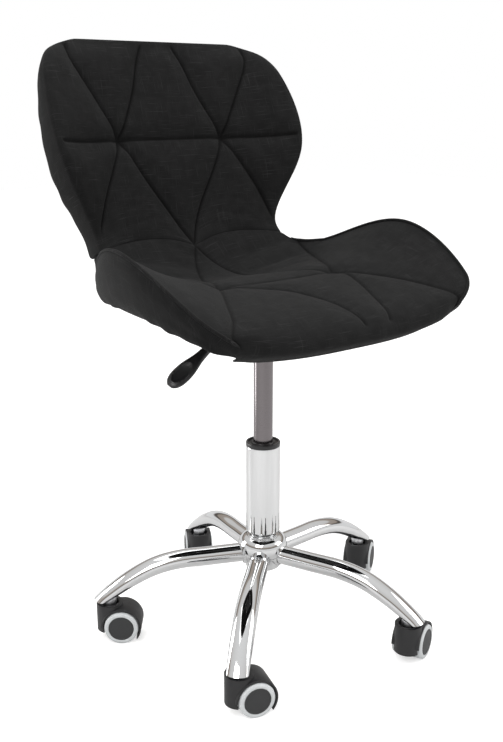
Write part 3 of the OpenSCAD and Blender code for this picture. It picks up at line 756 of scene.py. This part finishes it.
def finish_pad(piece, lines, tufts, shape, groove, pit_depth, pit_r):
    """Presses the sewn seams and the tuft pits into the blown pad."""
    apply_modifier(piece, "SUBSURF", levels=1, render_levels=1)
    flat = flat_places(piece)
    mask = face_mask(piece)
    distance, _ = nearest(lines, flat)
    inside = 0.15 + 0.85 * rim_share(flat, shape, SEAM_RIM_REACH)
    depth = groove * np.exp(-((distance / GROOVE_W) ** 2)) * inside
    # painted shade along the seams, and deeper painted shade round each tuft pit, kept as a point attribute
    # for the cloth colour
    painted_crease_shade = np.exp(-((distance / CREASE_SHADE_W) ** 2)) * inside * mask
    for u, t in tufts:
        centre = np.array([t * half_width(u), arc_at(u)])
        reach = np.linalg.norm(flat - centre, axis=1)
        depth += pit_depth * np.exp(-((reach / pit_r) ** 2))
        painted_crease_shade = np.maximum(painted_crease_shade, 0.75 * np.exp(-((reach / TUFT_SHADE_R) ** 2)))
    co = places_of(piece.data)
    move_to(piece.data, co - normals_of(piece.data) * (depth * mask * MM)[:, None])
    piece.data.attributes.new("painted_crease_shade", "FLOAT", "POINT").data.foreach_set("value", painted_crease_shade.astype(np.float32))


def rim_share(flat, shape, reach):
    """0 on the outer rim of a pad and 1 from reach millimetres inside it.

    The seam between the two pads is no rim.
    """
    u = station_at(flat[:, 1])
    side = half_width(u) - np.abs(flat[:, 0])
    first = flat[:, 1] - arc_at(0) if shape["u_first"] == 0 else 1000
    last = arc_at(LAST_U) - flat[:, 1] if shape["u_last"] == LAST_U else 1000
    return smoothstep(0, reach, np.minimum(side, np.minimum(first, last)))


def padded_piece(name, seams, tufts, swell, cap, groove, pit_depth, pit_r, **shape):
    piece, flat, kind, lines = build_pad(name, seams=seams, **shape)
    face = piece.vertex_groups.new(name="face")
    face.add([int(i) for i in np.nonzero(kind > 0)[0]], 1.0, "REPLACE")
    distance, _ = nearest(lines, flat)
    inside = rim_share(flat, shape, RIM_REACH)
    pillow = swell * (1 - np.exp(-((distance / PILLOW_REACH) ** 2))) * (kind > 0) * (0.2 + 0.8 * inside)
    co = places_of(piece.data)
    move_to(piece.data, co + normals_of(piece.data) * (pillow * MM)[:, None])
    loose = np.where(kind == 1, smoothstep(0, 8, distance), 0.0) * (0.1 + 0.9 * inside)
    inflate(piece, loose, cap)
    finish_pad(piece, lines, tufts, shape, groove, pit_depth, pit_r)
    only(piece)
    bpy.ops.object.shade_smooth()
    piece.data.materials.append(MATERIALS["black_fabric"])
    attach(piece, "seat")
    return piece


seat = padded_piece(
    "seat_cushion", SEAT_SEAMS, SEAT_TUFTS, swell=3.6, cap=5, groove=1.9, pit_depth=5, pit_r=16,
    u_first=0.0, u_last=4.80, columns=108, r_top=3.0, r_low=14, r_first=3.0, r_last=6.0,
    start_low=4.0, side_in=1.0,
)
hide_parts("seat_pad")

back = padded_piece(
    "back_cushion", BACK_SEAMS, BACK_TUFTS, swell=5.5, cap=7, groove=3.2, pit_depth=9, pit_r=15,
    u_first=4.76, u_last=8.0, columns=92, r_top=11.0, r_low=9, r_first=6.0, r_last=3.0,
    start_low=4.5, side_in=-3,
)
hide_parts("back_pad")


# ---- drawn pieces
def drawn(name, rings, sides=48, hollow=False):
    """A piece drawn up along Z: a circle is added at the first ring and extruded to each next one.

    A ring is (height, half width, half depth) in millimetres. A hollow piece's last ring meets its first.
    """
    rings = [(z * MM, a * MM, b * MM) for z, a, b in rings]
    z0, a0, b0 = rings[0]
    bpy.ops.object.select_all(action="DESELECT")
    fill = "NOTHING" if hollow else "NGON"
    bpy.ops.mesh.primitive_circle_add(vertices=sides, radius=1, fill_type=fill, location=(0, 0, z0))
    piece = bpy.context.object
    piece.name = piece.data.name = name
    bpy.ops.object.transform_apply(location=True, rotation=True, scale=True)
    bpy.ops.object.mode_set(mode="EDIT")
    bpy.ops.mesh.select_all(action="SELECT")
    bpy.ops.transform.resize(value=(a0, b0, 1), center_override=(0, 0, z0))
    for (za, aa, ba), (zb, ab, bb) in zip(rings, rings[1:]):
        bpy.ops.mesh.extrude_region_move(TRANSFORM_OT_translate={"value": (0, 0, zb - za)})
        bpy.ops.transform.resize(value=(ab / aa, bb / ba, 1), center_override=(0, 0, zb))
    if hollow:
        bpy.ops.mesh.select_non_manifold()
        bpy.ops.mesh.bridge_edge_loops()
    bpy.ops.object.mode_set(mode="OBJECT")
    return piece


def turned(name, profile, sides=64, hollow=False):
    """A round piece from (radius, height) points."""
    return drawn(name, [(z, r, r) for r, z in profile], sides, hollow)


def copied(piece, name, matrix):
    """A copy with a mesh of its own, placed by a matrix."""
    twin = piece.copy()
    twin.data = piece.data.copy()
    twin.name = twin.data.name = name
    bpy.context.scene.collection.objects.link(twin)
    twin.data.transform(matrix)
    return twin


def joined(name, pieces):
    bpy.ops.object.select_all(action="DESELECT")
    for piece in pieces:
        piece.select_set(True)
    bpy.context.view_layer.objects.active = pieces[0]
    bpy.ops.object.join()
    pieces[0].name = pieces[0].data.name = name
    return pieces[0]


def finish_hard(piece, slot_name, body, *nodes, angle=35):
    """Turns the faces outwards, smooths round faces, and gives the piece its finish and its body."""
    outward(piece)
    only(piece)
    bpy.ops.object.shade_smooth_by_angle(angle=math.radians(angle))
    if not piece.data.materials:
        piece.data.materials.append(MATERIALS[slot_name])
    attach(piece, body)
    if nodes:
        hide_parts(*nodes)
    return piece


def turn_z(degrees):
    return Matrix.Rotation(math.radians(degrees), 4, "Z")


def shift(x, y, z):
    return Matrix.Translation((x * MM, y * MM, z * MM))


# ---- base
BASE_TURN = 7
LEG_STEP = 72
STEM_CIRCLE_R = 230
LEG_R = [31, 80, 125, 162, 196, 224, 242]
LEG_Z = [122, 120, 118, 110, 94, 76, 63]
LEG_TILT = [0, 1, 6, 22, 40, 58, 84]
LEG_H = [27, 27, 27, 26, 24, 22, 21]
LEG_W = [30, 30, 31, 32, 32, 31, 30]
LEG_WALL = 2
LEG_ROOT_U = -0.1
TIP_U = 6


def make_leg():
    """One leg along +X: an oval tube, flattened and open at its tip."""
    outer = np.linspace(LEG_ROOT_U, TIP_U, 40)
    inner = np.linspace(TIP_U - 0.04, TIP_U - 1.0, 6)

    def ring(u, wall):
        return (u * 10, float(smooth(LEG_W, u)) / 2 - wall, float(smooth(LEG_H, u)) / 2 - wall)

    lip = [(TIP_U * 10 + 0.12, ring(TIP_U, 0.6)[1], ring(TIP_U, 0.6)[2]), ring(TIP_U, LEG_WALL - 0.4)]
    piece = drawn("leg", [ring(u, 0) for u in outer] + lip + [ring(u, LEG_WALL) for u in inner], 40)
    co = places_of(piece.data) / MM
    u = co[:, 2] / 10
    tilt = np.radians(smooth(LEG_TILT, u))
    outwards = smooth(LEG_R, u) + co[:, 1] * np.sin(tilt)
    upwards = smooth(LEG_Z, u) + co[:, 1] * np.cos(tilt)
    move_to(piece.data, np.stack([outwards, co[:, 0], upwards], axis=1) * MM)
    return piece


def make_legs():
    leg = make_leg()
    for i in range(5):
        piece = copied(leg, f"leg_tube_{i + 1}", turn_z(BASE_TURN + LEG_STEP * i))
        finish_hard(piece, "chrome", "base", f"leg_{i + 1}", angle=50)
    bpy.data.objects.remove(leg)


def make_hub():
    """Sleeve that the column stands in, with a domed crown and a rolled collar for each leg."""
    sleeve = turned("hub_sleeve", [
        (18.8, 100), (25, 100), (25.7, 100.4), (26, 101.2), (26, 144), (25.6, 146.6), (24.2, 148.8),
        (22.2, 150), (20.2, 150.2), (19.3, 149.6), (19.1, 148),
    ], 96, hollow=True)
    collar = turned("collar", [
        (16.2, 14), (16.4, 22), (16.8, 25.5), (17.0, 28.2), (16.8, 29.6), (16.1, 30.5), (15.4, 30.2),
        (15.0, 28.5),
    ], 56)
    crown = turned("crown", [
        (24.6, 149.6), (27.5, 149.0), (31.5, 146.4), (34.4, 142.6), (36.0, 138), (36.5, 133),
        (36.2, 128), (35.2, 124), (33.5, 122), (27, 121), (25, 125),
    ], 96, hollow=True)
    parts = [sleeve, crown]
    for i in range(5):
        lay = turn_z(BASE_TURN + LEG_STEP * i) @ shift(0, 0, LEG_Z[0]) @ Matrix.Rotation(math.pi / 2, 4, "Y")
        parts.append(copied(collar, f"collar_{i}", lay))
    bpy.data.objects.remove(collar)
    finish_hard(joined("hub_with_collars", parts), "chrome", "base", "base_hub")


FLUTES = 9
FLUTE_H = 26
FLUTE_HALF_W = 1.9
COLUMN_R = 25
RIM_Z = 158


def make_column():
    """Outer column with a tapered neck and short pressed flutes round its lower rim, the flute faces painted
    black as shade.
    """
    rows = list(np.linspace(RIM_Z + 1, RIM_Z + FLUTE_H + 1, 19))
    profile = [(17.5, 98), (19.1, 150), (19.2, 152), (22.8, 156), (24.4, 157.3), (24.85, 158)]
    profile += [(COLUMN_R, z) for z in rows]
    profile += [(COLUMN_R, z) for z in (210, 230, 250, 270, 286, 289)]
    profile += [(24.8, 289.8), (24.2, 290), (23.5, 289.6), (23.5, 160), (17.1, 154), (15.5, 101)]
    piece = turned("column_tube", profile, FLUTES * 40, hollow=True)
    co = places_of(piece.data) / MM
    radius = np.hypot(co[:, 0], co[:, 1])
    turn = np.degrees(np.arctan2(co[:, 1], co[:, 0]))
    off = (turn + 20) % (360 / FLUTES) - 20
    half = FLUTE_HALF_W * np.clip(1 - (co[:, 2] - RIM_Z) / FLUTE_H, 0.001, 1)
    share = np.clip(1 - np.abs(np.radians(off)) * COLUMN_R / half, 0, 1)
    share = share * ((radius > 24) & (co[:, 2] < RIM_Z + FLUTE_H) & (co[:, 2] > RIM_Z - 1.5))
    pressed = 1 - 1.3 * share / radius
    co[:, 0] *= pressed
    co[:, 1] *= pressed
    move_to(piece.data, co * MM)
    piece.data.materials.append(MATERIALS["chrome"])
    # painted shade: faces inside the pressed flutes take the black bush plastic instead of chrome
    piece.data.materials.append(MATERIALS["black_plastic"])
    for polygon in piece.data.polygons:
        if np.mean([share[v] for v in polygon.vertices]) > 0.2:
            polygon.material_index = 1
    finish_hard(piece, "chrome", "base", "gas_column")


def make_bush():
    """Black guide bush with a recessed ring in its top."""
    finish_hard(turned("column_bush", [
        (14.1, 238), (23.3, 238), (23.4, 290.2), (24.7, 290.3), (25, 290.8), (25, 294.8), (24.6, 295.7),
        (23.8, 296), (22.4, 296), (21.8, 295.6), (21.5, 293.9), (17.2, 293.9), (16.9, 295.4), (16.4, 296),
        (14.6, 296), (14.1, 295.6),
    ], 96, hollow=True), "black_plastic", "base", "guide_bush")


# ---- casters
CASTER_HEADING = [34, 60, -38, -18, 22]
CASTER_TRAIL = 18
AXLE_Z = 25


def at_caster(i):
    turn = BASE_TURN + LEG_STEP * i
    return turn_z(turn) @ shift(STEM_CIRCLE_R, 0, 0) @ turn_z(-turn) @ turn_z(CASTER_HEADING[i])


def on_wheel(side):
    """Lays a piece drawn along Z on the wheel axis, on one side of the hood."""
    return shift(CASTER_TRAIL, 0, AXLE_Z) @ Matrix.Rotation(-side * math.pi / 2, 4, "X")


def make_wheels():
    tyre = turned("tyre", [
        (18.6, 5.3), (20.5, 5.3), (22.6, 5.4), (23.9, 6.0), (24.7, 7.1), (25.0, 8.6), (25.0, 19.0),
        (24.7, 20.6), (23.9, 21.8), (22.6, 22.5), (21.0, 22.8), (19.4, 22.7), (18.6, 22.3),
    ], 72, hollow=True)
    body = turned("wheel", [
        (3.1, 6), (8, 5), (8, 8), (15.5, 8), (15.5, 5.5), (18.2, 5.5), (18.45, 6), (18.45, 22.3),
        (18.1, 22.9), (17.4, 23.15), (16.4, 23.1), (15.9, 22.7), (15.3, 22.75), (8, 23.0), (3, 23.1),
        (0.6, 23.1),
    ], 72)
    for i in range(5):
        for side, letter in ((1, "a"), (-1, "b")):
            lay = at_caster(i) @ on_wheel(side)
            rider = f"caster_{i + 1}_{letter}"
            ring = copied(tyre, f"caster_{i + 1}_ring_{letter}", lay)
            finish_hard(ring, "grey_tyre", rider, f"caster_{i + 1}_tyre_{letter}", angle=50)
            disc = copied(body, f"caster_{i + 1}_disc_{letter}", lay)
            finish_hard(disc, "cap_plastic", rider, f"caster_{i + 1}_wheel_{letter}")
    bpy.data.objects.remove(tyre)
    bpy.data.objects.remove(body)


def make_hoods():
    """Each hood is its CAD solid's mesh, merged, with its edges rounded over."""
    for i in range(5):
        node = f"caster_{i + 1}_housing"
        hood = copied(frame["nodes"][node], f"caster_{i + 1}_hood", Matrix.Identity(4))
        hood.parent = None
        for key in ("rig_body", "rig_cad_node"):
            if key in hood:
                del hood[key]
        hood.data.materials.clear()
        only(hood)
        bpy.ops.object.mode_set(mode="EDIT")
        bpy.ops.mesh.select_all(action="SELECT")
        bpy.ops.mesh.remove_doubles(threshold=0.00002)
        bpy.ops.mesh.dissolve_limited(angle_limit=math.radians(1))
        bpy.ops.object.mode_set(mode="OBJECT")
        apply_modifier(
            hood, "BEVEL", width=0.0007, segments=2, limit_method="ANGLE", angle_limit=math.radians(40),
            use_clamp_overlap=True,
        )
        finish_hard(hood, "hood_plastic", f"caster_{i + 1}", node, angle=40)


# ---- lever
PIVOT_Z = 454.05
ROD_END_X = 96
PADDLE_DROP = 33
PADDLE_TWIST = 32
PADDLE_S = [0, 6, 16, 29, 42, 52, 62, 71, 78, 82, 84.5]
PADDLE_W = [5.6, 6.0, 6.7, 8.2, 11.2, 12.9, 13.4, 12.7, 10.4, 7.6, 4.6]
PADDLE_H = [5.4, 5.6, 5.2, 4.8, 4.6, 4.6, 4.5, 4.3, 3.9, 3.1, 1.8]
DISH_S = 60
DISH_SIZE = (17.5, 8.8)
DISH_DEPTH = 3.4


def make_lever():
    """Handle moulded over the rod: a round sleeve and a paddle with an oval dish."""
    steps = np.linspace(0, len(PADDLE_S) - 1, 64)
    rings = [tuple(float(smooth(row, q)) for row in (PADDLE_S, PADDLE_W, PADDLE_H)) for q in steps]
    paddle = drawn("paddle", rings, 56)
    co = places_of(paddle.data) / MM
    # the broad faces are flatter than an oval
    half = np.interp(co[:, 2], [r[0] for r in rings], [r[1] for r in rings])
    co[:, 1] *= 1 + 0.35 * np.clip(np.abs(co[:, 0]) / half, 0, 1) ** 2 * (1 - (np.abs(co[:, 0]) / half) ** 2)
    reach = np.hypot((co[:, 2] - DISH_S) / DISH_SIZE[0], co[:, 0] / DISH_SIZE[1])
    upper = co[:, 1] > 0
    sunk = DISH_DEPTH * np.sqrt(np.clip(1 - reach**2, 0, 1)) - 0.7 * np.exp(-(((reach - 1.06) / 0.1) ** 2))
    co[:, 1] -= sunk * upper
    move_to(paddle.data, np.stack([-co[:, 2], co[:, 0], co[:, 1]], axis=1) * MM)
    paddle.data.transform(
        shift(-ROD_END_X + 6, 0, PIVOT_Z)
        @ Matrix.Rotation(math.radians(-PADDLE_DROP), 4, "Y")
        @ Matrix.Rotation(math.radians(PADDLE_TWIST), 4, "X")
    )
    sleeve = turned("sleeve", [
        (4.6, 86.2), (6.0, 86.4), (6.5, 87.2), (6.5, 92), (6.3, 96), (5.6, 99.5), (4.0, 101.5), (1.5, 102.3),
    ], 40)
    sleeve.data.transform(shift(0, 0, PIVOT_Z) @ Matrix.Rotation(-math.pi / 2, 4, "Y"))
    finish_hard(joined("lever_grip", [paddle, sleeve]), "lever_plastic", "lever", "lever_handle", angle=60)


make_legs()
make_hub()
make_column()
make_bush()
make_wheels()
make_hoods()
make_lever()


# ---- covers and welts
def make_cover(name, u_first, u_last, crown, slot_name, node):
    """A thin sewn cover that closes the shell from behind or below, fuller in its middle."""
    rows = 60
    cols = 60
    us = np.linspace(u_first, u_last, rows)
    sheets = []
    for inner in (False, True):
        for u in us:
            width = float(half_width(u)) - EDGE_ROLL + 5
            x = np.linspace(-width, width, cols)
            ends = np.minimum(abs(arc_at(u) - arc_at(u_first)), abs(arc_at(u_last) - arc_at(u)))
            edge = np.minimum(width - np.abs(x), ends)
            up = np.full(cols, COVER_T - 0.8) if inner else 2.2 - crown * (1 - np.exp(-edge / 14))
            shifted = u + joint_shift(u, x / float(half_width(u)))
            sheets.append(body_point(shifted, x, up))
    points = np.concatenate(sheets)
    n = rows * cols
    faces = []
    for i in range(rows - 1):
        for j in range(cols - 1):
            a, b, c, d = i * cols + j, i * cols + j + 1, (i + 1) * cols + j + 1, (i + 1) * cols + j
            faces += [(a, b, c, d), (n + d, n + c, n + b, n + a)]
    rim = [j for j in range(cols)] + [i * cols + cols - 1 for i in range(1, rows)]
    rim += [(rows - 1) * cols + j for j in range(cols - 2, -1, -1)]
    rim += [i * cols for i in range(rows - 2, 0, -1)]
    for a, b in zip(rim, rim[1:] + rim[:1]):
        faces.append((a, b, n + b, n + a))
    flat = np.array([(p[0], arc) for arc, sheet in zip(list(arc_at(us)) * 2, sheets) for p in sheet])
    piece = sewn_piece(name, [tuple(p * MM) for p in points], faces, flat)
    apply_modifier(piece, "SUBSURF", levels=1, render_levels=1)
    only(piece)
    bpy.ops.object.shade_smooth()
    piece.data.materials.append(MATERIALS[slot_name])
    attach(piece, "seat")
    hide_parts(node)
    return piece


make_cover("rear_panel", 4.80, 7.27, 4.0, "black_fabric", "back_cover")
make_cover("under_panel", 1.95, 4.79, 1.2, "dust_cloth", "dust_cover")


def make_welt(name, places, radius):
    """A sewn cord under cloth: a round tube through places on the body, given in millimetres."""
    curve = bpy.data.curves.new(name, "CURVE")
    curve.dimensions = "3D"
    curve.bevel_depth = radius * MM
    curve.bevel_resolution = 3
    curve.use_fill_caps = True
    spline = curve.splines.new("POLY")
    spline.points.add(len(places) - 1)
    for k, (point, place) in enumerate(zip(spline.points, places)):
        point.co = (*(place * MM), 1)
        ends = min(k, len(places) - 1 - k)
        point.radius = min(1.0, 0.25 + ends / 8)
    piece = bpy.data.objects.new(name, curve)
    bpy.context.scene.collection.objects.link(piece)
    only(piece)
    bpy.ops.object.convert(target="MESH")
    piece = bpy.context.object
    finish_hard(piece, "black_fabric", "seat", angle=80)
    piece.data.materials.clear()
    piece.data.materials.append(MATERIALS["piping"])
    return piece


def rim_places(side, u_first, u_last, out, down):
    """Places along the upper rim of the seat, just inside its edge."""
    us = np.linspace(u_first, u_last, 120)
    shifted = us + joint_shift(us, 1.0)
    return body_point(shifted, side * (half_width(us) - out), thickness(us) - down)


for label, side in (("right", -1), ("left", 1)):
    make_welt(f"seat_welt_{label}", rim_places(side, 1.15, 4.6, 2.6, 2.6), 2.2)


# ---- stage
def make_stage():
    floor = put_plane("studio_floor", 14.0)
    made = Finish("pale_floor", Roughness=0.6)
    tone = ramp(made.tree, noise(made.tree, made.place, 3.0, 4.0), 0.3, 0.7)
    made.set("Base Color", blend_colour(made.tree, tone, (0.68, 0.68, 0.68, 1), (0.72, 0.72, 0.72, 1)))
    seen = put(made.tree, "ShaderNodeLightPath").outputs["Is Camera Ray"]
    made.set("Emission Color", blend_colour(made.tree, seen, (0, 0, 0, 1), (1, 1, 1, 1)))
    made.set("Emission Strength", 0.55)
    floor.data.materials.append(made.material)


def put_plane(name, size):
    bpy.ops.mesh.primitive_plane_add(size=size, location=(0, 0, 0))
    plane = bpy.context.object
    plane.name = name
    return plane


def area_light(name, place, aim, size, power):
    data = bpy.data.lights.new(name, "AREA")
    data.shape = "SQUARE"
    data.size = size
    data.energy = power
    light = bpy.data.objects.new(name, data)
    light.location = place
    light.rotation_euler = (Vector(aim) - Vector(place)).to_track_quat("-Z", "Y").to_euler()
    bpy.context.scene.collection.objects.link(light)


def make_lights():
    aim = (0, 0, 0.4)
    area_light("key_softbox", (-2.2, -1.2, 2.6), aim, 1.8, 60)
    area_light("fill_softbox", (2.4, -1.8, 1.9), aim, 1.8, 35)
    area_light("top_softbox", (0.2, 0.6, 3.2), aim, 2.4, 45)
    world = bpy.data.worlds.new("studio")
    bpy.context.scene.world = world
    world.use_nodes = True
    tree = world.node_tree
    # white studio, seen by the chrome with a darker, warmer band a quarter to half way up
    way = put(tree, "ShaderNodeSeparateXYZ")
    tree.links.new(put(tree, "ShaderNodeTexCoord").outputs["Generated"], way.inputs[0])
    band = put(tree, "ShaderNodeValToRGB")
    tree.links.new(way.outputs[2], band.inputs[0])
    stops = [
        (0.0, (0.95, 0.95, 0.95)), (0.20, (0.90, 0.90, 0.90)), (0.25, (0.14, 0.12, 0.11)),
        (0.30, (0.12, 0.11, 0.10)), (0.34, (0.42, 0.36, 0.31)), (0.46, (0.45, 0.40, 0.36)),
        (0.50, (0.75, 0.74, 0.73)), (1.0, (0.95, 0.95, 0.95)),
    ]
    for k, (place, colour) in enumerate(stops):
        stop = band.color_ramp.elements[k] if k < 2 else band.color_ramp.elements.new(place)
        stop.position = place
        stop.color = (*colour, 1)
    seen = put(tree, "ShaderNodeLightPath").outputs["Is Camera Ray"]
    shown = blend_colour(tree, seen, band.outputs[0], (1, 1, 1, 1))
    background = tree.nodes["Background"]
    tree.links.new(shown, background.inputs[0])
    background.inputs[1].default_value = 1.0
    bpy.context.scene.view_settings.view_transform = "Standard"


def lit_card(name, turn, distance, width, low, high):
    """A bright card out of sight that the tube and chrome reflect; turn 0 is towards the viewer."""
    angle = math.radians(turn) - math.pi / 2 - VIEW_TURN
    card = put_plane(name, 1.0)
    lay = Matrix.Translation((math.cos(angle) * distance, math.sin(angle) * distance, (low + high) / 2))
    lay = lay @ Matrix.Rotation(angle + math.pi / 2, 4, "Z") @ Matrix.Rotation(math.pi / 2, 4, "X")
    card.data.transform(lay @ Matrix.Diagonal((width, high - low, 1, 1)))
    made = Finish(name + "_paper", Roughness=0.9)
    tone = ramp(made.tree, noise(made.tree, made.place, 5.0), 0.3, 0.7)
    made.set("Emission Color", blend_colour(made.tree, tone, (0.9, 0.9, 0.9, 1), (1, 1, 1, 1)))
    made.set("Emission Strength", 6.0)
    card.data.materials.append(made.material)
    card.visible_camera = False
    card.visible_shadow = False
    card.visible_diffuse = False


make_stage()
make_lights()
lit_card("side_reflector", -104, 0.9, 0.3, 0.07, 0.6)

for row in record["subparts"]:
    node = frame["nodes"][row["node"]]
    node.data.materials.clear()
    node.data.materials.append(MATERIALS[row["material_slot"]])
